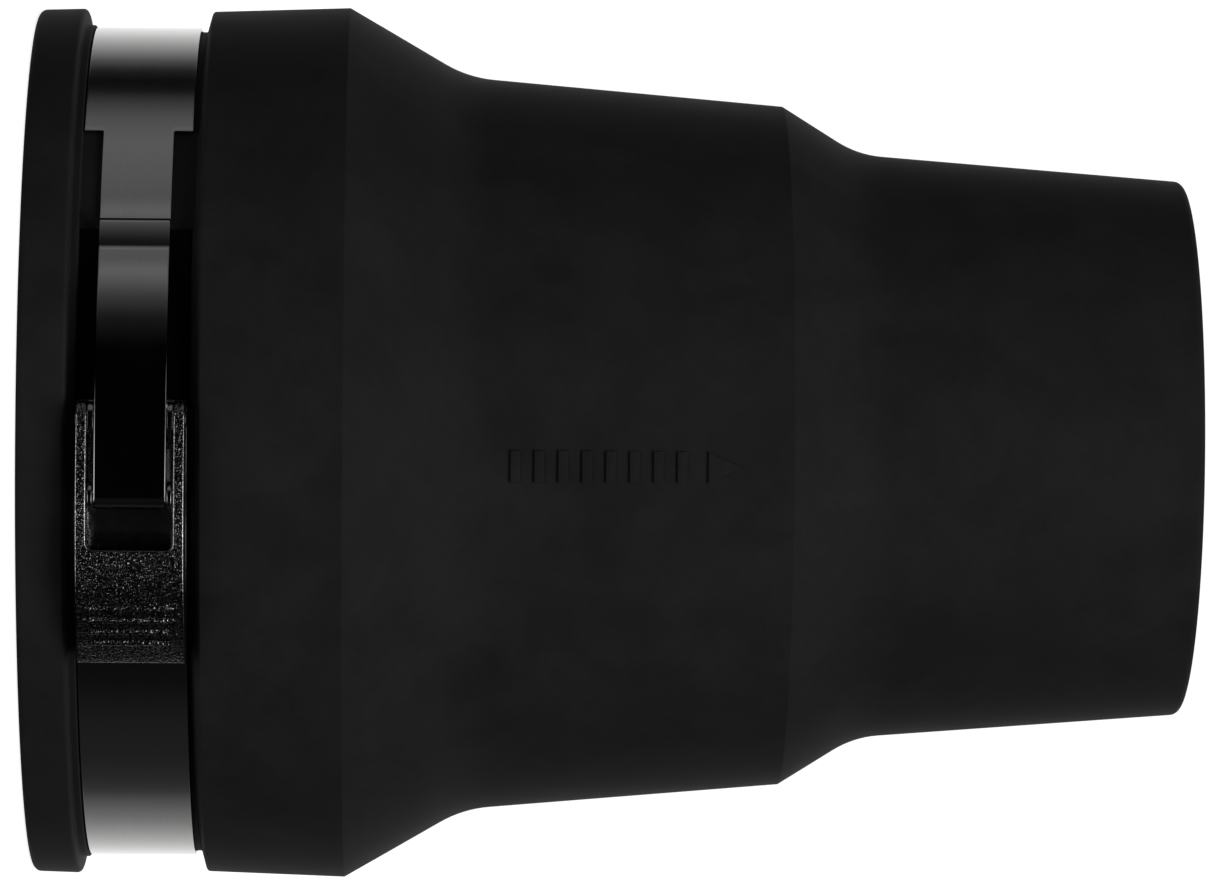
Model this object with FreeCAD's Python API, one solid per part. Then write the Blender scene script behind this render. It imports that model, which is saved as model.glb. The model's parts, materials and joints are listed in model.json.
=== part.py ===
import FreeCAD, Part
import math
import os
from FreeCAD import Vector

os.makedirs("parts", exist_ok=True)

# A rubber snoot that clamps on the front of a round studio flash head. The axis of the light is Z.
# The rear face stands on z = 0, the light leaves at the top, and the latch is on the -Y side.
# Latch angles are in degrees from -Y, growing towards -X. Latch heights are distances from the axis.

# ---- driving dimensions, in millimetres ----
LENGTH = 165.0
HEAD_RADIUS = 50.3
HEAD_DEPTH = 42.0
MOUTH_LEAD = 1.0
FLANGE_RADIUS = 62.35
FLANGE_DEPTH = 6.75
LEDGE_RADIUS = 60.0
COLLAR_RADIUS = 62.75
COLLAR_END = 44.6
GROOVE_RADIUS = 59.1
GROOVE_LOW = 8.05
GROOVE_HIGH = 24.15
WAIST_RADIUS = 52.9
WAIST_Z = 61.6
MIDDLE_RADIUS = 49.05
MIDDLE_END = 107.0
NECK_RADIUS = 42.2
NECK_Z = 118.0
EXIT_RADIUS = 38.6
EXIT_WALL = 3.8

BAND_GAP = 0.1
BAND_THICKNESS = 0.5
BAND_WIDTH = 15.1
BAND_CENTRE = 15.75
BAND_INNER = GROOVE_RADIUS + BAND_GAP
BAND_OUTER = BAND_INNER + BAND_THICKNESS
BACK_GAP = 0.3
FIXED_END = 5.5
TONGUE_START = 46.4
TONGUE_WIDTH = 9.8

STRAP_WIDTH = 9.8
STRAP_THICKNESS = 0.5
LEVER_WIDTH = 14.85
WINDOW_WIDTH = 11.8
EAR_THICKNESS = 0.7
PIVOT = (3.2, 62.2)
PIVOT_RADIUS = 1.25
STRAP_PIN = (-7.5, 63.2)
STRAP_PIN_RADIUS = 1.2
RUNNING_CLEARANCE = 0.05
LIP_ANGLE = 30.03
HEM_EDGE = 29.5
HEM_FOLD = 28.13

AXIS = Vector(0, 0, 1)
CENTRE = Vector(0, 0, 0)


# ---- shared helpers ----
def latch_point(across, height, z=0.0):
    """A point in the latch plane: across grows towards -X, and height towards -Y."""
    return Vector(-across, -height, z)


def ring_point(radius, angle, z=0.0):
    """A point at a radius and a latch angle."""
    turn = math.radians(angle)
    return latch_point(radius * math.sin(turn), radius * math.cos(turn), z)


def line(start, end):
    return Part.LineSegment(start, end).toShape()


def arc(start, middle, end):
    return Part.Arc(start, middle, end).toShape()


def rounded_outline(corners):
    """A closed wire through (point, radius) corners, each rounded with an arc of its radius."""
    ends = []
    for index, (corner, radius) in enumerate(corners):
        before = (corners[index - 1][0] - corner).normalize()
        after = (corners[(index + 1) % len(corners)][0] - corner).normalize()
        if radius == 0:
            ends.append((corner, None, corner))
            continue
        half = before.getAngle(after) / 2
        reach = radius / math.tan(half)
        centre = corner + (before + after).normalize() * (radius / math.sin(half))
        middle = centre + (corner - centre).normalize() * radius
        ends.append((corner + before * reach, middle, corner + after * reach))
    edges = []
    for index, (start, middle, end) in enumerate(ends):
        if middle is not None:
            edges.append(arc(start, middle, end))
        edges.append(line(end, ends[(index + 1) % len(ends)][0]))
    return Part.Wire(edges)


def revolved(corners):
    """A solid of revolution from (radius, z, rounding) corners."""
    outline = rounded_outline([(Vector(r, 0, z), rounding) for r, z, rounding in corners])
    return Part.Face(outline).revolve(CENTRE, AXIS, 360)


def ring_sector(inner, outer, angle_from, angle_to, low, high):
    """A curved strip about the axis between two latch angles and two heights."""
    corners = [(inner, low), (outer, low), (outer, high), (inner, high), (inner, low)]
    section = Part.Face(Part.makePolygon([Vector(r, 0, z) for r, z in corners]))
    section.rotate(CENTRE, AXIS, 270 - angle_to)
    return section.revolve(CENTRE, AXIS, angle_to - angle_from)


def band_strip(inner, outer, angle_from, angle_to, width):
    """A curved strip centred on the band."""
    half = width / 2
    return ring_sector(inner, outer, angle_from, angle_to, BAND_CENTRE - half, BAND_CENTRE + half)


def extruded(wire, low, high):
    """A flat outline in the latch plane, given thickness along Z."""
    face = Part.Face(wire)
    face.translate(Vector(0, 0, low))
    return face.extrude(Vector(0, 0, high - low))


def pin_at(place, radius, low, high):
    """A round pin parallel to the axis."""
    return Part.makeCylinder(radius, high - low, latch_point(place[0], place[1], low), AXIS)


def both_sides(near, far):
    """The two (low, high) spans at the same distances on either side of the band's centre."""
    return [(BAND_CENTRE + near, BAND_CENTRE + far), (BAND_CENTRE - far, BAND_CENTRE - near)]


# ---- snoot body: one rubber moulding ----
BRIDGE_THICKNESS = 0.8
BRIDGE_FROM = -16.0
BRIDGE_TO = 29.7
MARK_HEIGHT = 4.4
MARK_PROUD = 0.4
MARK_START = 67.6
MARK_PITCH = 3.3
MARK_BARS = 8
MARK_BAR_WIDTH = 1.3
MARK_ACROSS = -3.0
ARROW_GAP = 1.0
ARROW_LENGTH = 4.8


def body_outside(proud=0.0):
    """The outer wall between the collar's sharp edge and the second cone, optionally enlarged."""
    return [
        (COLLAR_RADIUS + proud, COLLAR_END, 0),
        (WAIST_RADIUS + proud, WAIST_Z, 17.0),
        (MIDDLE_RADIUS + proud, MIDDLE_END, 0),
    ]


def body_inside():
    """The inner wall, from the exit back to the mouth that takes the flash head."""
    exit_inner = EXIT_RADIUS - EXIT_WALL
    return [
        (exit_inner, LENGTH, 0.8),
        (NECK_RADIUS - 4.0, NECK_Z + 1.0, 8.0),
        (MIDDLE_RADIUS - 4.2, MIDDLE_END + 0.5, 8.0),
        (HEAD_RADIUS - 3.3, HEAD_DEPTH, 0.6),
        (HEAD_RADIUS, HEAD_DEPTH, 0.5),
        (HEAD_RADIUS, MOUTH_LEAD, 0),
        (HEAD_RADIUS + MOUTH_LEAD, 0, 0),
    ]


def raised_mark():
    """Plain upright bars and an arrowhead that points to the exit, before they are trimmed."""
    low = MARK_ACROSS - MARK_HEIGHT / 2
    pieces = []
    for index in range(MARK_BARS):
        corner = latch_point(low + MARK_HEIGHT, COLLAR_RADIUS, MARK_START + index * MARK_PITCH)
        pieces.append(Part.makeBox(MARK_HEIGHT, 20, MARK_BAR_WIDTH, corner))
    base = MARK_START + MARK_BARS * MARK_PITCH + ARROW_GAP
    tip = base + ARROW_LENGTH
    arrow = [(low, base), (MARK_ACROSS, tip), (low + MARK_HEIGHT, base)]
    points = [latch_point(across, COLLAR_RADIUS, z) for across, z in arrow]
    face = Part.Face(Part.makePolygon(points + points[:1]))
    pieces.append(face.extrude(Vector(0, 20, 0)))
    return pieces


def snoot_body():
    outside = [
        (FLANGE_RADIUS - 0.2, 0, 1.0),
        (FLANGE_RADIUS, FLANGE_DEPTH, 0.6),
        (LEDGE_RADIUS, FLANGE_DEPTH + 0.15, 0.2),
        (LEDGE_RADIUS, GROOVE_LOW - 0.1, 0.2),
        (GROOVE_RADIUS, GROOVE_LOW, 0.1),
        (GROOVE_RADIUS, GROOVE_HIGH, 0.3),
        (COLLAR_RADIUS - 0.7, GROOVE_HIGH + 0.8, 0.5),
    ]
    exit_end = [
        (NECK_RADIUS, NECK_Z, 14.5),
        (EXIT_RADIUS, LENGTH, 1.2),
    ]
    body = revolved(outside + body_outside() + exit_end + body_inside())
    pocket = band_strip(
        GROOVE_RADIUS - BRIDGE_THICKNESS, GROOVE_RADIUS + 0.2, BRIDGE_FROM, BRIDGE_TO, BAND_WIDTH
    )
    body = body.cut(pocket)
    limit = revolved([(10, COLLAR_END, 0)] + body_outside(MARK_PROUD) + [(10, MIDDLE_END, 0)])
    core = revolved([(NECK_RADIUS, COLLAR_END, 0), (COLLAR_RADIUS - 2, COLLAR_END, 0),
                     (WAIST_RADIUS - 1.5, WAIST_Z, 17.0), (MIDDLE_RADIUS - 1.5, MIDDLE_END, 0),
                     (NECK_RADIUS, MIDDLE_END, 0)])
    marks = [piece.common(limit).cut(core) for piece in raised_mark()]
    return body.fuse(marks).removeSplitter()


# ---- band: one strip of steel, held here as two halves that meet at the back ----
def band_fixed_side():
    back = math.degrees(BACK_GAP / 2 / BAND_INNER)
    strip = band_strip(BAND_INNER, BAND_OUTER, back - 180, FIXED_END, BAND_WIDTH)
    return strip.cut(rivet_shanks())


def band_free_side():
    back = math.degrees(BACK_GAP / 2 / BAND_INNER)
    wide = band_strip(BAND_INNER, BAND_OUTER, TONGUE_START, 180 - back, BAND_WIDTH)
    tongue = band_strip(BAND_INNER, BAND_OUTER, HEM_FOLD, TONGUE_START, TONGUE_WIDTH)
    hem_inner = BAND_OUTER + 0.1
    hem = band_strip(hem_inner, hem_inner + BAND_THICKNESS, HEM_FOLD, HEM_EDGE, TONGUE_WIDTH)
    fold_height = (BAND_OUTER + hem_inner) / 2
    low, high = BAND_CENTRE - TONGUE_WIDTH / 2, BAND_CENTRE + TONGUE_WIDTH / 2
    radii = [BAND_THICKNESS + 0.05, 0.05]
    bends = []
    for radius in radii:
        start = ring_point(fold_height + radius, HEM_FOLD)
        end = ring_point(fold_height - radius, HEM_FOLD)
        centre = ring_point(fold_height, HEM_FOLD)
        outward = (start - centre).normalize()
        middle = centre + Vector(-outward.y, outward.x, 0) * radius
        bends.append(Part.Wire([arc(start, middle, end), line(end, start)]))
    fold = extruded(bends[0], low, high).cut(extruded(bends[1], low, high))
    return wide.fuse([tongue, fold, hem]).removeSplitter()


def gap_bridge():
    inner = GROOVE_RADIUS - BRIDGE_THICKNESS
    return band_strip(inner, GROOVE_RADIUS, BRIDGE_FROM, BRIDGE_TO, BAND_WIDTH)


# ---- latch base: a plate riveted on the band's fixed end, with two ears for the pivot pin ----
PLATE_THICKNESS = 0.8
PLATE_FROM = -14.5
PLATE_TO = 5.5
PLATE_HALF = WINDOW_WIDTH / 2 - 0.15
EAR_RADIUS = 2.2
RIVET_RADIUS = 0.9
RIVET_HEAD_RADIUS = 1.6
RIVET_HEAD = 0.5
RIVETS = [(-5.5, -3.2), (-5.5, 3.2), (-1.5, 0.0)]


def ear_outline():
    """One ear: round about the pivot, wide where it meets the plate."""
    across, height = PIVOT
    foot = BAND_OUTER + 0.3
    left, right = across - 4.5, across + 2.4
    crown = height + EAR_RADIUS
    points = [
        (latch_point(left, foot), 0),
        (latch_point(across - EAR_RADIUS, crown), EAR_RADIUS),
        (latch_point(across + EAR_RADIUS, crown), EAR_RADIUS - 0.01),
        (latch_point(right, foot), 0),
    ]
    return rounded_outline(points)


def latch_base():
    outer = BAND_OUTER + PLATE_THICKNESS
    base = band_strip(BAND_OUTER, outer, PLATE_FROM, PLATE_TO, 2 * PLATE_HALF)
    spans = both_sides(PLATE_HALF - EAR_THICKNESS, PLATE_HALF)
    ears = [extruded(ear_outline(), low, high) for low, high in spans]
    base = base.fuse(ears)
    hole = pin_at(PIVOT, PIVOT_RADIUS, BAND_CENTRE - LEVER_WIDTH, BAND_CENTRE + LEVER_WIDTH)
    return base.cut([hole] + rivet_shanks()).removeSplitter()


def rivet_shanks():
    shanks = []
    for angle, offset in RIVETS:
        foot = ring_point(BAND_INNER, angle, BAND_CENTRE + offset)
        outward = ring_point(1.0, angle)
        depth = BAND_THICKNESS + PLATE_THICKNESS + 0.2
        shanks.append(Part.makeCylinder(RIVET_RADIUS, depth, foot, outward))
    return shanks


def base_rivets():
    """Three flat-headed rivets through the plate and the band, flush with the band's inside."""
    solids = []
    for (angle, offset), shank in zip(RIVETS, rivet_shanks()):
        seat = ring_point(BAND_OUTER + PLATE_THICKNESS, angle, BAND_CENTRE + offset)
        outward = ring_point(1.0, angle)
        head = Part.makeCylinder(RIVET_HEAD_RADIUS, RIVET_HEAD, seat, outward)
        solids.append(head.fuse(shank).removeSplitter())
    return Part.makeCompound(solids)


def pivot_pin():
    reach = LEVER_WIDTH / 2 + 0.2
    pin = pin_at(PIVOT, PIVOT_RADIUS, BAND_CENTRE - reach, BAND_CENTRE + reach)
    rims = [edge for edge in pin.Edges if len(edge.Vertexes) == 1]
    return pin.makeChamfer(0.25, rims)


# ---- lever: a forked handle that turns on the pivot pin ----
NOSE_RADIUS = 2.3
ARM_TOP = BAND_OUTER + 5.9
CREST_TOP = BAND_OUTER + 6.6
LEVER_UNDER = BAND_OUTER + 1.5
WINDOW_END = -14.75
CREST_ANGLE = -16.5
TIP_ANGLE = -28.7
SLOPE_SAG = 1.0
TIP_TOP = BAND_OUTER + 3.7
RIB_COUNT = 4
RIB_PITCH = 1.9
RIB_WIDTH = 10.6
RIB_RADIUS = 0.55
RIB_DEPTH = 0.25
RIB_FIRST = -20.2
SLOPE_MIDDLE = -22.8
WINDOW_CORNER = 1.0


def slope_middle():
    """The middle of the handle's sloping end."""
    return ring_point(CREST_TOP - SLOPE_SAG, SLOPE_MIDDLE)


def lever_outline():
    """The side of the handle: a round nose, a back that follows the ring, and a thin tip."""
    across, height = PIVOT
    nose_front = latch_point(across + NOSE_RADIUS, height)
    nose_top = latch_point(across, height + NOSE_RADIUS)
    nose_under = latch_point(across, height - NOSE_RADIUS)
    lift = math.sqrt(0.5) * NOSE_RADIUS
    arm_angle = -4.0
    under_angle = -3.0
    arm_top = ring_point(ARM_TOP, arm_angle)
    crest = ring_point(CREST_TOP, CREST_ANGLE)
    tip_top = ring_point(TIP_TOP, TIP_ANGLE)
    tip_under = ring_point(TIP_TOP - 1.5, TIP_ANGLE)
    under = ring_point(LEVER_UNDER, under_angle)
    middle_angle = (CREST_ANGLE + arm_angle) / 2
    edges = [
        arc(nose_under, nose_front, nose_top),
        line(nose_top, arm_top),
        arc(arm_top, ring_point((ARM_TOP + CREST_TOP) / 2 + 0.1, middle_angle), crest),
        arc(crest, slope_middle(), tip_top),
        line(tip_top, tip_under),
        arc(tip_under, ring_point(LEVER_UNDER + 0.1, -15.0), under),
        line(under, nose_under),
    ]
    return Part.Wire(edges)


def lever():
    half = LEVER_WIDTH / 2
    handle = extruded(lever_outline(), BAND_CENTRE - half, BAND_CENTRE + half)
    window_half = WINDOW_WIDTH / 2
    window = Part.makeBox(
        60, 20, WINDOW_WIDTH, latch_point(60 + WINDOW_END, 75, BAND_CENTRE - window_half)
    )
    corners = [edge for edge in window.Edges if abs(edge.tangentAt(edge.FirstParameter).y) > 0.99]
    window = window.makeFillet(WINDOW_CORNER, corners)
    handle = handle.cut(window)
    span = (BAND_CENTRE - LEVER_WIDTH, BAND_CENTRE + LEVER_WIDTH)
    holes = [
        pin_at(PIVOT, PIVOT_RADIUS + RUNNING_CLEARANCE, *span),
        pin_at(STRAP_PIN, STRAP_PIN_RADIUS, *span),
    ]
    return handle.cut(holes).fuse(grip_ribs()).removeSplitter()


def grip_ribs():
    """Low rounded ribs across the sloping end of the handle."""
    slope = Part.Arc(ring_point(CREST_TOP, CREST_ANGLE), slope_middle(), ring_point(TIP_TOP, TIP_ANGLE))
    ribs = []
    for index in range(RIB_COUNT):
        angle = RIB_FIRST - index * math.degrees(RIB_PITCH / CREST_TOP)
        ray = Part.LineSegment(CENTRE, ring_point(2 * CREST_TOP, angle))
        top = Vector(*slope.intersectCC(ray)[0].toShape().Point)
        centre = top - ring_point(RIB_DEPTH, angle)
        centre.z = BAND_CENTRE - RIB_WIDTH / 2
        ribs.append(Part.makeCylinder(RIB_RADIUS, RIB_WIDTH, centre, AXIS))
    return ribs


def strap_pin():
    half = LEVER_WIDTH / 2
    return pin_at(STRAP_PIN, STRAP_PIN_RADIUS, BAND_CENTRE - half, BAND_CENTRE + half)


def pin_washers():
    washers = []
    for low, high in both_sides(STRAP_WIDTH / 2 + 0.2, WINDOW_WIDTH / 2 - 0.2):
        ring = pin_at(STRAP_PIN, 2.1, low, high)
        washers.append(ring.cut(pin_at(STRAP_PIN, STRAP_PIN_RADIUS, low, high)))
    return Part.makeCompound(washers)


# ---- draw strap: one strip of steel, looped round the strap pin and hooked over the band's hem ----
LOOP_START = 20.0
STRAP_STRAIGHT = 3.2
CREASE_ANGLE = 26.45
CREASE_HEIGHT = BAND_OUTER + 0.62
HUMP_HEIGHT = BAND_OUTER + 0.72
HUMP_ANGLE = 28.4
LIP_TOP = BAND_OUTER + 0.77
LIP_FOOT = BAND_OUTER + 0.1
LOOP_CLEARANCE = 0.07
LOOP_MIDDLE = -125.0


def strap_underside():
    """The strap's inner side, from the loop's tucked end to the hook's lip."""
    across, height = STRAP_PIN
    radius = STRAP_PIN_RADIUS + LOOP_CLEARANCE

    def on_loop(angle):
        turn = math.radians(angle)
        return latch_point(across + radius * math.cos(turn), height + radius * math.sin(turn))

    top = on_loop(90)
    bend = latch_point(across + STRAP_STRAIGHT, height + radius)
    crease = ring_point(CREASE_HEIGHT, CREASE_ANGLE)
    run = -crease.x - (across + STRAP_STRAIGHT)
    drop = (height + radius) + crease.y
    sweep = (run * run + drop * drop) / (2 * drop)
    half_turn = math.asin(run / sweep) / 2
    middle = latch_point(
        across + STRAP_STRAIGHT + sweep * math.sin(half_turn),
        height + radius - sweep * (1 - math.cos(half_turn)),
    )
    lip_top = ring_point(LIP_TOP, LIP_ANGLE)
    edges = [
        arc(on_loop(LOOP_START), on_loop(LOOP_MIDDLE), top),
        line(top, bend),
        arc(bend, middle, crease),
        arc(crease, ring_point(HUMP_HEIGHT, HUMP_ANGLE), lip_top),
        line(lip_top, ring_point(LIP_FOOT, LIP_ANGLE)),
    ]
    return Part.Wire(edges)


def draw_strap():
    strip = strap_underside().makeOffset2D(-STRAP_THICKNESS, 0, True, True, True)
    half = STRAP_WIDTH / 2
    strip.translate(Vector(0, 0, BAND_CENTRE - half))
    return strip.extrude(Vector(0, 0, STRAP_WIDTH))


NODES = {
    "snoot_body": snoot_body,
    "band_fixed_side": band_fixed_side,
    "gap_bridge": gap_bridge,
    "latch_base": latch_base,
    "base_rivets": base_rivets,
    "pivot_pin": pivot_pin,
    "band_free_side": band_free_side,
    "lever": lever,
    "strap_pin": strap_pin,
    "pin_washers": pin_washers,
    "draw_strap": draw_strap,
}

if __name__ == "__main__":
    for name, make in NODES.items():
        shape = make()
        box = shape.BoundBox
        print(f"{name:16s} solids {len(shape.Solids)} valid {shape.isValid()} volume {shape.Volume:10.1f}"
              f" X {box.XMin:.2f}..{box.XMax:.2f} Y {box.YMin:.2f}..{box.YMax:.2f}"
              f" Z {box.ZMin:.2f}..{box.ZMax:.2f}")
        shape.exportStep(f"parts/{name}.step")
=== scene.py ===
import json
import math

import bmesh
import bpy
from mathutils import Matrix, Vector


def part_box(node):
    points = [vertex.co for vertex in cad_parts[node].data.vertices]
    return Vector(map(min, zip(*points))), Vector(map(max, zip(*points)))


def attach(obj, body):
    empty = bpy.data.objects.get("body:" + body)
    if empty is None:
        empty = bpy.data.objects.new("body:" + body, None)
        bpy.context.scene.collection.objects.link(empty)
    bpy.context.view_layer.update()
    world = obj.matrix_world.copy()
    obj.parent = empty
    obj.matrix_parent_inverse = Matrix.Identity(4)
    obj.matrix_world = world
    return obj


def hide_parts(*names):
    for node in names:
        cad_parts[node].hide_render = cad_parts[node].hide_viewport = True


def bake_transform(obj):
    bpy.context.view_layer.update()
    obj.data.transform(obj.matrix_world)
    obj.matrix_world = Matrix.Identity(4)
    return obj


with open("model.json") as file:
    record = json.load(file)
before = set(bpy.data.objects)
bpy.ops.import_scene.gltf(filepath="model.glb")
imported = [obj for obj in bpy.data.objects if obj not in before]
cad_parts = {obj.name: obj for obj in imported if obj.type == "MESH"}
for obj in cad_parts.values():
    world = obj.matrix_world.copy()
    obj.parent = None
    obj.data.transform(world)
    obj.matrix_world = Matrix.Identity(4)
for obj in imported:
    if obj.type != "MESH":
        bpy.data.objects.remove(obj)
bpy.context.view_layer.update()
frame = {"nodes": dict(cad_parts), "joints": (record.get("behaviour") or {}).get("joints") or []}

# A rubber snoot on its wide end, with a steel band and an over-centre latch on the -Y side.
# Lengths are in millimetres, and MM turns them into metres for meshes, modifiers and materials.
# Only the floor and the camera are placed in metres.
# Latch angles are in degrees from -Y and grow towards -X.
MM = 0.001
# Lengths that differ by less than this count as the same.
NEAR = 0.001

NODES = frame["nodes"]
JOINTS = {joint["name"]: joint for joint in frame["joints"]}
COLLECTION = bpy.context.scene.collection

_, body_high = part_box("snoot_body")
band_low, band_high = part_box("band_fixed_side")
LENGTH = body_high.z / MM
BAND_OUTER = band_high.x / MM
BAND_THICKNESS = 0.5
BAND_MIDDLE = BAND_OUTER - BAND_THICKNESS / 2
BAND_LOW = band_low.z / MM
BAND_HIGH = band_high.z / MM
BAND_CENTRE = (BAND_LOW + BAND_HIGH) / 2
BAND_HALF = (BAND_HIGH - BAND_LOW) / 2
PIVOT = Vector(JOINTS["lever_hinge"]["pos_m"]) / MM
STRAP_PIN = Vector(JOINTS["strap_hinge"]["pos_m"]) / MM


# ---------------------------------------------------------------- shared mesh helpers
# Steps in each rounded corner of an outline.
ROUND_STEPS = 8
# In the copies of CAD pieces, points closer than WELD are joined, faces that meet within FLAT_WITHIN
# degrees are made one, and outer edges that bend by more than ROUNDED_FROM degrees are rounded.
WELD = 0.002
FLAT_WITHIN = 0.5
ROUNDED_FROM = 30


def ring_point(radius, angle, z=0.0):
    """A point at a radius and a latch angle."""
    turn = math.radians(angle)
    return Vector((-radius * math.sin(turn), -radius * math.cos(turn), z))


def add_object(name, mesh, material, body, slot, *replaced):
    """Links a new piece that rides on a body, or on none, and stands for CAD nodes."""
    piece = bpy.data.objects.new(name, mesh)
    COLLECTION.objects.link(piece)
    mesh.materials.clear()
    mesh.materials.append(material)
    if body:
        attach(piece, body)
    if replaced:
        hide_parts(*replaced)
    return piece


def finished_mesh(build, name, closed=True):
    """Writes a bmesh out as a new mesh. The faces of a closed one are turned outwards."""
    if closed:
        bmesh.ops.recalc_face_normals(build, faces=build.faces)
    mesh = bpy.data.meshes.new(name)
    build.to_mesh(mesh)
    build.free()
    return mesh


def smooth_by_angle(mesh, degrees):
    """Smooth shading, with edges sharper than the angle kept crisp."""
    for polygon in mesh.polygons:
        polygon.use_smooth = True
    mesh.set_sharp_from_angle(angle=math.radians(degrees))


def add_bevel(piece, width, segments, degrees=None):
    """Rounds the edges that bend by more than the angle, or by their own weights if there is no angle."""
    bevel = piece.modifiers.new("edge_rounding", "BEVEL")
    bevel.width = width * MM
    bevel.segments = segments
    bevel.use_clamp_overlap = False
    if degrees is None:
        bevel.limit_method = "WEIGHT"
    else:
        bevel.limit_method = "ANGLE"
        bevel.angle_limit = math.radians(degrees)
    return bevel


def apply_modifiers(piece):
    """Replaces the piece's mesh by its modified one."""
    graph = bpy.context.evaluated_depsgraph_get()
    graph.update()
    mesh = bpy.data.meshes.new_from_object(piece.evaluated_get(graph))
    piece.modifiers.clear()
    piece.data = mesh
    return mesh


def rounded_path(corners):
    """Points along straight lines through (x, y, radius) corners, each rounded by its radius."""
    points = []
    for index, (x, y, radius) in enumerate(corners):
        corner = Vector((x, y))
        if radius == 0:
            points.append(corner)
            continue
        before = (Vector(corners[index - 1][:2]) - corner).normalized()
        after = (Vector(corners[(index + 1) % len(corners)][:2]) - corner).normalized()
        half = before.angle(after) / 2
        centre = corner + (before + after).normalized() * (radius / math.sin(half))
        start = corner + before * (radius / math.tan(half)) - centre
        end = corner + after * (radius / math.tan(half)) - centre
        sweep = start.angle_signed(end)
        for step in range(ROUND_STEPS + 1):
            turned = start.copy()
            turned.rotate(Matrix.Rotation(-sweep * step / ROUND_STEPS, 2))
            points.append(centre + turned)
    return points


def sheet_mesh(name, rows):
    """A strip through (middle point, places across) rows, with its length and width as UVs in metres.

    All rows share their columns. A face is left out where one of its two rows is too narrow for it."""
    build = bmesh.new()
    uv_layer = build.loops.layers.uv.new("strip")
    columns = sorted({place for _, places in rows for place in places})
    grid = []
    for point, _ in rows:
        grid.append([build.verts.new((point.x * MM, point.y * MM, z * MM)) for z in columns])
    lengths = [0.0]
    for (first, _), (second, _) in zip(rows, rows[1:]):
        lengths.append(lengths[-1] + (second - first).length)
    for index in range(len(rows) - 1):
        low = max(min(rows[index][1]), min(rows[index + 1][1]))
        high = min(max(rows[index][1]), max(rows[index + 1][1]))
        for column in range(len(columns) - 1):
            if columns[column] < low - NEAR or columns[column + 1] > high + NEAR:
                continue
            corners = [(index, column), (index + 1, column), (index + 1, column + 1), (index, column + 1)]
            face = build.faces.new([grid[i][j] for i, j in corners])
            for loop, (i, j) in zip(face.loops, corners):
                loop[uv_layer].uv = (lengths[i] * MM, columns[j] * MM)
    loose = [vert for vert in build.verts if not vert.link_faces]
    bmesh.ops.delete(build, geom=loose, context="VERTS")
    return finished_mesh(build, name, closed=False)


def soften(node, name, material, body, slot, width, segments=2, share=None, edge_material=None):
    """Makes a copy of a CAD node with its outer edges rounded, which stands for the node.

    share(start, end) is given an edge in millimetres and says how much of the width it gets, 0 to 1.
    Without it each edge gets the whole width. The rounded edges can have a material of their own."""
    mesh = NODES[node].data.copy()
    mesh.name = name
    build = bmesh.new()
    build.from_mesh(mesh)
    bmesh.ops.remove_doubles(build, verts=build.verts, dist=WELD * MM)
    bmesh.ops.dissolve_limit(
        build, angle_limit=math.radians(FLAT_WITHIN), verts=build.verts, edges=build.edges
    )
    weight = build.edges.layers.float.new("bevel_weight_edge")
    for edge in build.edges:
        edge.smooth = True
        if len(edge.link_faces) == 2 and edge.calc_face_angle_signed(0.0) > math.radians(ROUNDED_FROM):
            ends = [vert.co / MM for vert in edge.verts]
            edge[weight] = share(*ends) if share else 1.0
    for face in build.faces:
        face.smooth = True
    build.to_mesh(mesh)
    build.free()
    piece = add_object(name, mesh, material, body, slot, node)
    bevel = add_bevel(piece, width, segments)
    if edge_material:
        mesh.materials.append(edge_material)
        bevel.material = 1
    normals = piece.modifiers.new("flat_faces", "WEIGHTED_NORMAL")
    normals.keep_sharp = False
    normals.weight = 100
    apply_modifiers(piece)


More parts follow.
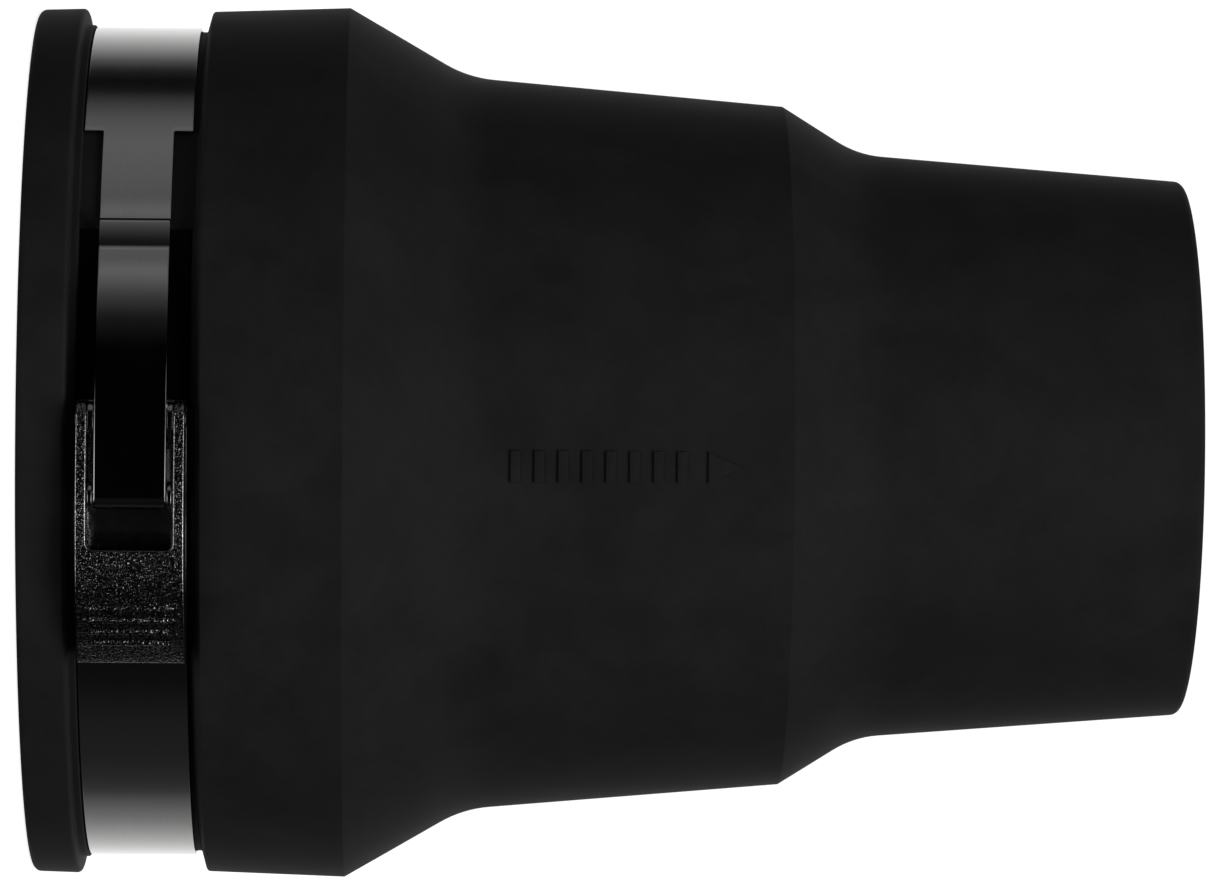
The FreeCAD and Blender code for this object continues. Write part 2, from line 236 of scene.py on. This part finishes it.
# ---------------------------------------------------------------- materials
class Shader:
    """A short way to wire one Principled material."""

    def __init__(self, name):
        self.material = bpy.data.materials.new(name)
        self.material.use_nodes = True
        self.tree = self.material.node_tree
        self.surface = self.tree.nodes["Principled BSDF"]
        self.place = self.tree.nodes.new("ShaderNodeTexCoord")

    def set(self, **values):
        """Sets inputs of the surface, with _ for each space in an input's name."""
        for key, value in values.items():
            self.surface.inputs[key.replace("_", " ")].default_value = value

    def node(self, kind, **values):
        """Adds a node and sets its inputs or, where no input has that name, its properties."""
        made = self.tree.nodes.new(kind)
        for key, value in values.items():
            if key in made.inputs:
                made.inputs[key].default_value = value
            else:
                setattr(made, key, value)
        return made

    def link(self, source, target):
        self.tree.links.new(source, target)

    def stretched(self, source, scale):
        """The texture place times a scale for each axis."""
        mapping = self.node("ShaderNodeMapping", Scale=scale)
        self.link(self.place.outputs[source], mapping.inputs["Vector"])
        return mapping.outputs["Vector"]

    def noise(self, vector, scale, detail=3.0, roughness=0.5):
        """Noise with about scale waves to each unit of its vector."""
        made = self.node("ShaderNodeTexNoise", Scale=scale, Detail=detail, Roughness=roughness)
        self.link(vector, made.inputs["Vector"])
        return made.outputs["Fac"]

    def ramp(self, value, low, high, first, last):
        """Carries value from low..high to the colours or greys first..last."""
        made = self.node("ShaderNodeValToRGB")
        made.color_ramp.elements[0].position = low
        made.color_ramp.elements[1].position = high
        for element, colour in zip(made.color_ramp.elements, (first, last)):
            grey = isinstance(colour, (int, float))
            element.color = (colour, colour, colour, 1) if grey else (*colour, 1)
        self.link(value, made.inputs["Fac"])
        return made.outputs["Color"]

    def colour_and_roughness(self, colour, rough):
        self.link(colour, self.surface.inputs["Base Color"])
        self.link(rough, self.surface.inputs["Roughness"])

    def bumps(self, layers):
        """Stacks bump layers given as (height, strength, distance in millimetres)."""
        last = None
        for height, strength, distance in layers:
            made = self.node("ShaderNodeBump", Strength=strength, Distance=distance * MM)
            self.link(height, made.inputs["Height"])
            if last is not None:
                self.link(last, made.inputs["Normal"])
            last = made.outputs["Normal"]
        self.link(last, self.surface.inputs["Normal"])


def rubber_material():
    """Matt moulded rubber: fine grain, small pores and faint blotches."""
    shader = Shader("moulded_rubber")
    where = shader.place.outputs["Object"]
    blotches = shader.noise(where, scale=90, detail=6.0, roughness=0.75)
    pores = shader.noise(where, scale=900, roughness=0.6)
    grain = shader.noise(where, scale=2600, detail=2.0)
    colour = shader.ramp(blotches, 0.35, 0.65, (0.034, 0.034, 0.0345), (0.049, 0.049, 0.0495))
    rough = shader.ramp(blotches, 0.25, 0.75, 0.62, 0.74)
    shader.colour_and_roughness(colour, rough)
    shader.bumps([(pores, 0.18, 0.05), (grain, 0.25, 0.02)])
    shader.set(Specular_IOR_Level=0.12)
    return shader.material


STRIP_TINT = (0.64, 0.635, 0.63)
# A strip end with painted shade takes this length to darken.
PAINTED_SHADE_FADE = 0.1


def strip_steel_material(name, painted_shade_from=None):
    """Rolled strip with fine lines along it, for UVs in metres. Beyond a given length along it the colour
    turns near black: painted shade for the shadow along the strap's lip.
    """
    shader = Shader(name)
    lines = shader.noise(shader.stretched("UV", (60, 9000, 1)), scale=1.0, roughness=0.6)
    clouds = shader.noise(shader.stretched("UV", (120, 260, 1)), scale=1.0)
    colour = shader.ramp(lines, 0.2, 0.8, tuple(part * 0.93 for part in STRIP_TINT), STRIP_TINT)
    rough = shader.ramp(clouds, 0.3, 0.7, 0.08, 0.12)
    shader.bumps([(lines, 0.12, 0.01)])
    shader.set(Metallic=1.0)
    if painted_shade_from is not None:
        # Painted shade: near-black colour past the given length, standing in for the shadow along the
        # strap's lip.
        parts = shader.node("ShaderNodeSeparateXYZ")
        shader.link(shader.place.outputs["UV"], parts.inputs[0])
        painted_shade_share = shader.node("ShaderNodeMapRange")
        painted_shade_share.inputs["From Min"].default_value = painted_shade_from * MM
        painted_shade_share.inputs["From Max"].default_value = (painted_shade_from + PAINTED_SHADE_FADE) * MM
        shader.link(parts.outputs["X"], painted_shade_share.inputs["Value"])
        mix = shader.node("ShaderNodeMixRGB", Color2=(0.03, 0.03, 0.03, 1))
        shader.link(painted_shade_share.outputs["Result"], mix.inputs["Fac"])
        shader.link(colour, mix.inputs["Color1"])
        colour = mix.outputs["Color"]
    shader.colour_and_roughness(colour, rough)
    return shader.material


def turned_steel_material(name, grey, roughness):
    """Small stamped or turned steel parts."""
    shader = Shader(name)
    marks = shader.noise(shader.stretched("Object", (400, 400, 5200)), scale=1.0, roughness=0.6)
    clouds = shader.noise(shader.place.outputs["Object"], scale=700)
    colour = shader.ramp(clouds, 0.3, 0.7, grey * 0.85, grey)
    rough = shader.ramp(clouds, 0.3, 0.7, roughness, roughness + 0.06)
    shader.colour_and_roughness(colour, rough)
    shader.bumps([(marks, 0.15, 0.01)])
    shader.set(Metallic=1.0)
    return shader.material


def cast_black_material(name, grain, hollow, peak):
    """Dark plating over a cast skin: its coarseness, and its greys in the hollows and on the peaks."""
    shader = Shader(name)
    where = shader.place.outputs["Object"]
    crystals = shader.node("ShaderNodeTexVoronoi", Scale=3300.0, Randomness=1.0)
    shader.link(where, crystals.inputs["Vector"])
    pebbles = shader.noise(where, scale=3700, detail=2.0, roughness=0.6)
    specks = shader.noise(where, scale=4700, detail=1.0)
    wear = shader.noise(where, scale=500)
    colour = shader.ramp(specks, 0.43, 0.62, (hollow, hollow, hollow + 0.002), (peak, peak, peak + 0.005))
    rough = shader.ramp(wear, 0.3, 0.7, 0.17, 0.21)
    shader.colour_and_roughness(colour, rough)
    shader.bumps([(crystals.outputs["Distance"], 1.0, 0.085 * grain), (pebbles, 1.0, 0.068 * grain)])
    shader.set(Metallic=1.0)
    return shader.material


def bridge_material_with_painted_shade():
    """Satin black strip under the band's gap. Its greys are pushed far below black plastic's own as
    painted shade for the strap and lever above it.
    """
    shader = Shader("satin_black_strip_painted_shade")
    where = shader.place.outputs["Object"]
    clouds = shader.noise(where, scale=400)
    grain = shader.noise(where, scale=3000, detail=2.0)
    # Painted shade: the strip is black, and its near-zero greys also stand in for the shade under the
    # strap and lever.
    colour = shader.ramp(clouds, 0.3, 0.7, (0.002, 0.002, 0.0021), (0.004, 0.004, 0.0041))
    rough = shader.ramp(clouds, 0.3, 0.7, 0.45, 0.58)
    shader.colour_and_roughness(colour, rough)
    shader.bumps([(grain, 0.2, 0.02)])
    shader.set(Specular_IOR_Level=0.08)
    return shader.material


RUBBER = rubber_material()
BAND_STEEL = strip_steel_material("band_steel_strip")
BASE_STEEL = turned_steel_material("stamped_steel", grey=0.5, roughness=0.13)
PIN_STEEL = turned_steel_material("turned_steel", grey=0.6, roughness=0.15)
CAST_BLACK = cast_black_material("cast_dark_plating", grain=1.0, hollow=0.03, peak=0.58)
CAST_EDGE = cast_black_material("rubbed_plating_edge", grain=0.25, hollow=0.25, peak=0.55)
BRIDGE_BLACK_AND_PAINTED_SHADE = bridge_material_with_painted_shade()


# ---------------------------------------------------------------- rubber body
HEAD_RADIUS = 50.3
HEAD_DEPTH = 42.0
MOUTH_LEAD = 1.0
SHOULDER = 3.3
FLANGE_RADIUS = 62.35
FLANGE_DEPTH = 6.75
LEDGE_RADIUS = 60.0
COLLAR_RADIUS = body_high.x / MM
COLLAR_END = 44.6
BAND_GAP = 0.1
GROOVE_RADIUS = BAND_OUTER - BAND_THICKNESS - BAND_GAP
GROOVE_LOW = 8.05
GROOVE_HIGH = 24.15
WAIST_RADIUS = 52.9
WAIST_Z = 61.6
MIDDLE_RADIUS = 49.05
MIDDLE_END = 107.0
MIDDLE_WALL = 4.2
NECK_RADIUS = 42.2
NECK_Z = 118.0
NECK_WALL = 4.0
EXIT_RADIUS = 38.6
EXIT_WALL = 3.8
# The pocket in the groove's floor lies between these latch angles. Its side walls take POCKET_WALL
# degrees to each side of them.
POCKET = (-16.0, 29.7)
POCKET_WALL = 0.02
POCKET_DEPTH = 0.8
BODY_COLUMNS = 288


def body_outline():
    """The wall's section as (radius, z, rounding), from the rear outer corner round to the mouth."""
    return [
        (FLANGE_RADIUS - 0.2, 0, 1.0),
        (FLANGE_RADIUS, FLANGE_DEPTH, 0.6),
        (LEDGE_RADIUS, FLANGE_DEPTH + 0.15, 0.2),
        (LEDGE_RADIUS, GROOVE_LOW - 0.1, 0.2),
        (GROOVE_RADIUS, GROOVE_LOW, 0.1),
        (GROOVE_RADIUS, BAND_LOW, 0),
        (GROOVE_RADIUS, BAND_HIGH, 0),
        (GROOVE_RADIUS, GROOVE_HIGH, 0.3),
        (COLLAR_RADIUS - 0.7, GROOVE_HIGH + 0.8, 0.5),
        (COLLAR_RADIUS, COLLAR_END, 0.3),
        (WAIST_RADIUS, WAIST_Z, 17.0),
        (MIDDLE_RADIUS, MIDDLE_END, 0.3),
        (NECK_RADIUS, NECK_Z, 14.5),
        (EXIT_RADIUS, LENGTH, 1.2),
        (EXIT_RADIUS - EXIT_WALL, LENGTH, 0.8),
        (NECK_RADIUS - NECK_WALL, NECK_Z + 1.0, 8.0),
        (MIDDLE_RADIUS - MIDDLE_WALL, MIDDLE_END + 0.5, 8.0),
        (HEAD_RADIUS - SHOULDER, HEAD_DEPTH, 0.6),
        (HEAD_RADIUS, HEAD_DEPTH, 0.5),
        (HEAD_RADIUS, MOUTH_LEAD, 0),
        (HEAD_RADIUS + MOUTH_LEAD, 0, 0),
    ]


def make_body():
    """One turned wall, with a shallow pocket in the groove's floor."""
    section = rounded_path(body_outline())
    angles = [360 * column / BODY_COLUMNS - 180 for column in range(BODY_COLUMNS)]
    for edge in POCKET:
        angles += [edge - POCKET_WALL, edge + POCKET_WALL]
    angles.sort()
    build = bmesh.new()
    grid = []
    for angle in angles:
        sunk = POCKET[0] < angle < POCKET[1]
        column = []
        for radius, z in section:
            if sunk and abs(radius - GROOVE_RADIUS) < NEAR and BAND_LOW - NEAR <= z <= BAND_HIGH + NEAR:
                radius -= POCKET_DEPTH
            column.append(build.verts.new(ring_point(radius, angle, z) * MM))
        grid.append(column)
    for index, column in enumerate(grid):
        following = grid[(index + 1) % len(grid)]
        for row in range(len(section)):
            other = (row + 1) % len(section)
            build.faces.new((column[row], column[other], following[other], following[row]))
    mesh = finished_mesh(build, "rubber_body")
    smooth_by_angle(mesh, degrees=38)
    add_object("rubber_body", mesh, RUBBER, "root", "body_rubber", "snoot_body")


MARK_HEIGHT = 4.4
MARK_PROUD = 0.4
MARK_ROOT = -0.3
MARK_START = 67.6
MARK_PITCH = 3.3
MARK_BARS = 8
MARK_BAR_WIDTH = 1.3
MARK_ACROSS = -3.0
MARK_ROUNDING = 0.12
ARROW_GAP = 1.0
ARROW_LENGTH = 4.8


def wall_radius(z):
    """The outside of the middle cone at a height."""
    share = (z - WAIST_Z) / (MIDDLE_END - WAIST_Z)
    return WAIST_RADIUS + (MIDDLE_RADIUS - WAIST_RADIUS) * share


def make_mark():
    """A row of plain upright bars and an arrowhead that points to the exit, raised from the wall."""
    low, high = MARK_ACROSS - MARK_HEIGHT / 2, MARK_ACROSS + MARK_HEIGHT / 2
    shapes = []
    for index in range(MARK_BARS):
        start = MARK_START + index * MARK_PITCH
        end = start + MARK_BAR_WIDTH
        shapes.append([(low, start), (low, end), (high, end), (high, start)])
    base = MARK_START + MARK_BARS * MARK_PITCH + ARROW_GAP
    shapes.append([(low, base), (MARK_ACROSS, base + ARROW_LENGTH), (high, base)])
    build = bmesh.new()
    for shape in shapes:
        layers = []
        for proud in (MARK_ROOT, MARK_PROUD):
            layer = []
            for across, z in shape:
                angle = math.degrees(across / wall_radius(z))
                layer.append(build.verts.new(ring_point(wall_radius(z) + proud, angle, z) * MM))
            build.faces.new(layer)
            layers.append(layer)
        under, top = layers
        for index in range(len(shape)):
            other = (index + 1) % len(shape)
            build.faces.new((under[index], under[other], top[other], top[index]))
    mesh = finished_mesh(build, "raised_mark")
    piece = add_object("raised_mark", mesh, RUBBER, "root", "body_rubber")
    add_bevel(piece, MARK_ROUNDING, segments=3, degrees=30)
    smooth_by_angle(apply_modifiers(piece), degrees=35)


# ---------------------------------------------------------------- steel band
FIXED_END = 5.5
TONGUE_START = 46.4
TONGUE_HALF = 4.9
HEM_FOLD = 28.13
HEM_START = HEM_FOLD + 0.6
HEM_EDGE = 29.5
FOLD_RADIUS = 0.3
RING_STEPS = 315
TONGUE_STEPS = 20
FOLD_STEPS = 10
# A strip's mesh has a column of points this far inside each edge.
EDGE_COLUMN = 0.3


def strip_columns(half):
    """The places across a strip where its mesh has columns: its edges, and close beside them."""
    beside = half - EDGE_COLUMN
    return [BAND_CENTRE + reach for reach in (-half, -beside, beside, half)]


def strip_edges(piece, thickness, rounding):
    """Gives a sheet its thickness about its middle and rounds its edges."""
    solid = piece.modifiers.new("thickness", "SOLIDIFY")
    solid.thickness = thickness * MM
    solid.offset = 0
    solid.use_even_offset = True
    add_bevel(piece, rounding, segments=2, degrees=50)
    smooth_by_angle(apply_modifiers(piece), degrees=40)


def make_band():
    """One strip from the riveted end round the back to the tongue and its folded hem."""
    full = strip_columns(BAND_HALF)
    narrow = strip_columns(TONGUE_HALF)
    shoulder = TONGUE_START - 360
    fold = HEM_FOLD - 360
    rows = []
    for step in range(RING_STEPS + 1):
        angle = FIXED_END + (shoulder - FIXED_END) * step / RING_STEPS
        rows.append((ring_point(BAND_MIDDLE, angle), full))
    for step in range(1, TONGUE_STEPS + 1):
        angle = shoulder + (fold - shoulder) * step / TONGUE_STEPS
        rows.append((ring_point(BAND_MIDDLE, angle), narrow))
    centre = ring_point(BAND_MIDDLE + FOLD_RADIUS, HEM_FOLD)
    outward = ring_point(1.0, HEM_FOLD)
    ahead = ring_point(1.0, HEM_FOLD - 90)
    for step in range(1, FOLD_STEPS + 1):
        turn = math.pi * step / FOLD_STEPS
        rows.append((centre + (ahead * math.sin(turn) - outward * math.cos(turn)) * FOLD_RADIUS, narrow))
    for angle in (HEM_START, HEM_EDGE):
        rows.append((ring_point(BAND_MIDDLE + 2 * FOLD_RADIUS, angle), narrow))
    mesh = sheet_mesh("clamp_band", rows)
    piece = add_object(
        "clamp_band", mesh, BAND_STEEL, None, "band_steel", "band_fixed_side", "band_free_side"
    )
    strip_edges(piece, BAND_THICKNESS, rounding=0.1)
    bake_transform(piece)


# ---------------------------------------------------------------- draw strap
STRAP_THICKNESS = 0.5
STRAP_HALF = 4.9
STRAP_PIN_RADIUS = 1.2
LOOP_CLEARANCE = 0.07
LOOP_RADIUS = STRAP_PIN_RADIUS + LOOP_CLEARANCE + STRAP_THICKNESS / 2
LOOP_START = 20.0
LOOP_END = -270.0
LOOP_STEPS = 24
STRAP_STRAIGHT = 3.2
RUN_STEPS = 40
CREASE_ANGLE = 26.1
CREASE_RISE = 0.62
HOOK_STEPS = 12
LIP_ANGLE = 30.03
LIP_RISE = 0.77
LIP_GAP = 0.1
LIP_TURNS = (30, 60, 90)
# Length of the strap's end, at its lip, that carries painted shade.
LIP_PAINTED_SHADE = 1.2


def strap_path():
    """The strap's middle line: round its pin, over the pivot, to the crease, over the hem and its lip."""
    half = STRAP_THICKNESS / 2
    pin = Vector((STRAP_PIN.x, STRAP_PIN.y, 0))
    points = []
    for step in range(LOOP_STEPS + 1):
        turn = math.radians(LOOP_START + (LOOP_END - LOOP_START) * step / LOOP_STEPS)
        points.append(pin + Vector((-math.cos(turn), -math.sin(turn), 0)) * LOOP_RADIUS)
    bend = points[-1] + Vector((-STRAP_STRAIGHT, 0, 0))
    crease = ring_point(BAND_OUTER + CREASE_RISE + half, CREASE_ANGLE)
    run, drop = bend.x - crease.x, crease.y - bend.y
    sweep = (run * run + drop * drop) / (2 * drop)
    whole = math.asin(run / sweep)
    for step in range(RUN_STEPS + 1):
        turn = whole * step / RUN_STEPS
        points.append(bend + Vector((-sweep * math.sin(turn), sweep * (1 - math.cos(turn)), 0)))
    for step in range(1, HOOK_STEPS + 1):
        share = step / HOOK_STEPS
        angle = CREASE_ANGLE + (LIP_ANGLE - CREASE_ANGLE) * share
        rise = CREASE_RISE + (LIP_RISE - CREASE_RISE) * (1 - (1 - share) ** 2)
        points.append(ring_point(BAND_OUTER + rise + half, angle))
    centre = ring_point(BAND_OUTER + LIP_RISE, LIP_ANGLE)
    outward = ring_point(1.0, LIP_ANGLE)
    ahead = ring_point(1.0, LIP_ANGLE + 90)
    for degrees in LIP_TURNS:
        turn = math.radians(degrees)
        points.append(centre + (outward * math.cos(turn) + ahead * math.sin(turn)) * half)
    points.append(points[-1] - outward * (LIP_RISE - LIP_GAP))
    return points


def make_strap():
    """One narrow strip, looped round its pin and hooked over the hem, with painted shade on its end at the
    lip for the shadow along the lip's edge.
    """
    width = strip_columns(STRAP_HALF)
    path = strap_path()
    length = sum((second - first).length for first, second in zip(path, path[1:]))
    # The strap's end at its lip gets painted shade, for the shadow along the lip's edge.
    steel = strip_steel_material("strap_steel_strip", painted_shade_from=length - LIP_PAINTED_SHADE)
    mesh = sheet_mesh("strap_strip", [(point, width) for point in path])
    piece = add_object("strap_strip", mesh, steel, "strap", "band_steel", "draw_strap")
    strip_edges(piece, STRAP_THICKNESS, rounding=0.2)


# ---------------------------------------------------------------- the lever's rounded edges
# Edges this close to a pin's axis belong to its hole.
PIN_HOLE_REACH = 1.4
# The thumb end's edges are longer than this across the lever, and lie beyond this place along X.
THUMB_EDGE_LENGTH = 13.0
THUMB_END_X = 20.0
# The grip ribs lie between these latch angles, this near to the band's centre and outside this radius.
RIB_ANGLES = (-27.5, -19.0)
RIB_HALF = 5.6
RIB_RADIUS = BAND_OUTER + 2.6
PLAIN_EDGE_SHARE = 0.6


def lever_rounding(start, end):
    """The lever's thumb end is rounded most. Its pin holes and the feet of its grip ribs stay sharp."""
    middle = (start + end) / 2
    flat = Vector((middle.x, middle.y, 0))
    for pin in (PIVOT, STRAP_PIN):
        if (flat - Vector((pin.x, pin.y, 0))).length < PIN_HOLE_REACH:
            return 0.0
    if abs(start.z - end.z) > THUMB_EDGE_LENGTH and middle.x > THUMB_END_X:
        return 1.0
    angle = math.degrees(math.atan2(-middle.x, -middle.y))
    on_ribs = RIB_ANGLES[0] < angle < RIB_ANGLES[1] and abs(middle.z - BAND_CENTRE) < RIB_HALF
    return 0.0 if on_ribs and flat.length > RIB_RADIUS else PLAIN_EDGE_SHARE


# ---------------------------------------------------------------- stage, light and camera
# The floor lies just under the object's rear face.
FLOOR_HEIGHT = -0.0002
FLOOR_REACH = 6.0
FLOOR_GLOW = 0.92
SURROUND_GLOW = 1.05


def make_floor():
    """A pale floor that glows for the eye and doesn't light the object."""
    mesh = bpy.data.meshes.new("floor")
    sides = [(-1, -1), (1, -1), (1, 1), (-1, 1)]
    corners = [(x * FLOOR_REACH, y * FLOOR_REACH, FLOOR_HEIGHT) for x, y in sides]
    mesh.from_pydata(corners, [], [(0, 1, 2, 3)])
    floor = bpy.data.objects.new("floor", mesh)
    COLLECTION.objects.link(floor)
    shader = Shader("pale_floor")
    shader.set(Base_Color=(0.7, 0.7, 0.7, 1), Roughness=0.9, Specular_IOR_Level=0.0)
    shader.set(Emission_Color=(1, 1, 1, 1), Emission_Strength=FLOOR_GLOW)
    mesh.materials.append(shader.material)
    floor.visible_diffuse = False
    floor.visible_glossy = False


# Light seen round the object's axis: (degrees from -Y towards -X, strength).
ROUND_LIGHT = [
    (-180, 1.15), (-160, 0.88), (-147, 0.59), (-137, 0.39), (-130, 0.255), (-118, 0.115), (-113, 0.05),
    (-107, 0.032), (-98, 0.021), (-83, 0.0165), (-70, 0.007), (-60, 0.005), (-22, 0.007), (-6, 0.001),
    (40, 0.001), (50, 0.013), (57, 0.06), (62, 0.130), (66, 0.185), (70.5, 0.120), (77, 0.138),
    (90, 0.158), (100, 0.12), (108, 0.055), (113, 0.010), (119, 0.005), (125, 0.020), (131, 0.105),
    (139, 0.32), (149, 0.60), (158, 0.85), (180, 1.15),
]
# The round light fades between these two cosines of the angle to the axis.
ROUND_LIGHT_FULL = 0.2
ROUND_LIGHT_ENDS = 0.75
# Soft boxes off to both ends of the object: (direction, full angle, dark angle, strength), where the
# light is full within the first angle and gone at the second.
SOFT_BOXES = [
    ((-0.30, -0.58, 0.76), 6, 16, 0.6),
    ((0.04, -0.62, 0.78), 8, 20, 1.8),
    ((0.36, -0.56, 0.76), 6, 18, 2.4),
    ((0.10, -0.54, -0.84), 10, 32, 1.15),
    ((0.1, 0.3, 1.0), 12, 34, 0.2),
]


def calculate(tree, operation, *values):
    """One maths node on sockets or numbers."""
    made = tree.nodes.new("ShaderNodeMath")
    made.operation = operation
    for socket, value in zip(made.inputs, values):
        if isinstance(value, (int, float)):
            socket.default_value = value
        else:
            tree.links.new(value, socket)
    return made.outputs["Value"]


def round_light(tree, direction):
    """The light that surrounds the axis, faded towards both ends of the axis."""
    parts = tree.nodes.new("ShaderNodeSeparateXYZ")
    tree.links.new(direction, parts.inputs[0])
    towards_latch = calculate(tree, "MULTIPLY", parts.outputs["Y"], -1.0)
    turn = calculate(tree, "ARCTAN2", calculate(tree, "MULTIPLY", parts.outputs["X"], -1.0), towards_latch)
    share = calculate(tree, "MULTIPLY_ADD", turn, 0.5 / math.pi, 0.5)
    ramp = tree.nodes.new("ShaderNodeValToRGB")
    elements = ramp.color_ramp.elements
    for index, (angle, strength) in enumerate(ROUND_LIGHT):
        place = (angle + 180) / 360
        element = elements[index] if index < 2 else elements.new(place)
        element.position = place
        element.color = (strength, strength, strength, 1)
    tree.links.new(share, ramp.inputs["Fac"])
    fade = tree.nodes.new("ShaderNodeMapRange")
    fade.interpolation_type = "SMOOTHSTEP"
    fade.inputs["From Min"].default_value = ROUND_LIGHT_ENDS
    fade.inputs["From Max"].default_value = ROUND_LIGHT_FULL
    tree.links.new(calculate(tree, "ABSOLUTE", parts.outputs["Z"]), fade.inputs["Value"])
    return calculate(tree, "MULTIPLY", ramp.outputs["Color"], fade.outputs["Result"])


def soft_box(tree, source, direction, full_angle, dark_angle, strength):
    """A round soft patch of light."""
    dot = tree.nodes.new("ShaderNodeVectorMath")
    dot.operation = "DOT_PRODUCT"
    dot.inputs[1].default_value = Vector(direction).normalized()
    tree.links.new(source, dot.inputs[0])
    spread = tree.nodes.new("ShaderNodeMapRange")
    spread.interpolation_type = "SMOOTHSTEP"
    spread.inputs["From Min"].default_value = math.cos(math.radians(dark_angle))
    spread.inputs["From Max"].default_value = math.cos(math.radians(full_angle))
    spread.inputs["To Max"].default_value = strength
    tree.links.new(dot.outputs["Value"], spread.inputs["Value"])
    return spread.outputs["Result"]


def white_background(tree):
    """A white background whose strength is still to be set."""
    made = tree.nodes.new("ShaderNodeBackground")
    made.inputs["Color"].default_value = (1, 1, 1, 1)
    return made


def make_world():
    """A white surround for the eye, and soft patches of light for the object."""
    world = bpy.data.worlds.new("studio")
    bpy.context.scene.world = world
    world.use_nodes = True
    tree = world.node_tree
    tree.nodes.clear()
    direction = tree.nodes.new("ShaderNodeTexCoord").outputs["Generated"]
    total = soft_box(tree, direction, *SOFT_BOXES[0])
    for box in SOFT_BOXES[1:]:
        total = calculate(tree, "ADD", total, soft_box(tree, direction, *box))
    total = calculate(tree, "ADD", total, round_light(tree, direction))
    light = white_background(tree)
    tree.links.new(total, light.inputs["Strength"])
    surround = white_background(tree)
    surround.inputs["Strength"].default_value = SURROUND_GLOW
    path = tree.nodes.new("ShaderNodeLightPath")
    mix = tree.nodes.new("ShaderNodeMixShader")
    tree.links.new(path.outputs["Is Camera Ray"], mix.inputs["Fac"])
    tree.links.new(light.outputs["Background"], mix.inputs[1])
    tree.links.new(surround.outputs["Background"], mix.inputs[2])
    output = tree.nodes.new("ShaderNodeOutputWorld")
    tree.links.new(mix.outputs["Shader"], output.inputs["Surface"])


# The camera's place in metres, its turns in radians, and its lens and film in millimetres.
CAMERA_DISTANCE = 1.0594
CAMERA_Z = 0.0575
CAMERA_RISE = 0.0028
CAMERA_YAW = 0.02321
CAMERA_PITCH = -0.00227
CAMERA_ROLL = -0.00723
CAMERA_LENS = 216.95
CAMERA_FILM = 36.0
CAMERA_NEAR = 0.05
CAMERA_FAR = 50.0


def make_camera():
    """Looks along +Y at the latch, rolled so that the snoot's axis lies across the picture."""
    camera = bpy.data.objects.new("camera", bpy.data.cameras.new("camera"))
    COLLECTION.objects.link(camera)
    camera.data.lens = CAMERA_LENS
    camera.data.sensor_width = CAMERA_FILM
    camera.data.clip_start = CAMERA_NEAR
    camera.data.clip_end = CAMERA_FAR
    upright = Matrix(((0, -1, 0), (0, 0, -1), (1, 0, 0)))
    turn = (
        Matrix.Rotation(CAMERA_ROLL, 3, "Z")
        @ Matrix.Rotation(-CAMERA_PITCH, 3, "X")
        @ Matrix.Rotation(CAMERA_YAW, 3, "Y")
    )
    camera.rotation_mode = "QUATERNION"
    camera.rotation_quaternion = (upright @ turn.transposed()).to_quaternion()
    camera.location = (-CAMERA_RISE, -CAMERA_DISTANCE, CAMERA_Z)
    bpy.context.scene.camera = camera
    bpy.context.scene.view_settings.view_transform = "Standard"


# ---------------------------------------------------------------- the object
make_body()
make_mark()
make_band()
make_strap()
soften(
    "lever", "lever_handle", CAST_BLACK, "lever", "lever_black", width=0.42,
    segments=3, share=lever_rounding, edge_material=CAST_EDGE,
)
soften("latch_base", "base_bracket", BASE_STEEL, "root", "latch_steel", width=0.02)
soften("base_rivets", "rivet_heads", BASE_STEEL, "root", "latch_steel", width=0.15)
soften("pivot_pin", "lever_pivot", PIN_STEEL, "root", "pin_steel", width=0.08)
soften("strap_pin", "strap_axle", PIN_STEEL, "lever", "pin_steel", width=0.12)
soften("pin_washers", "strap_washers", PIN_STEEL, "lever", "pin_steel", width=0.08)
soften("gap_bridge", "bridge_strip", BRIDGE_BLACK_AND_PAINTED_SHADE, "root", "bridge_plastic", width=0.1)
make_floor()
make_world()
make_camera()
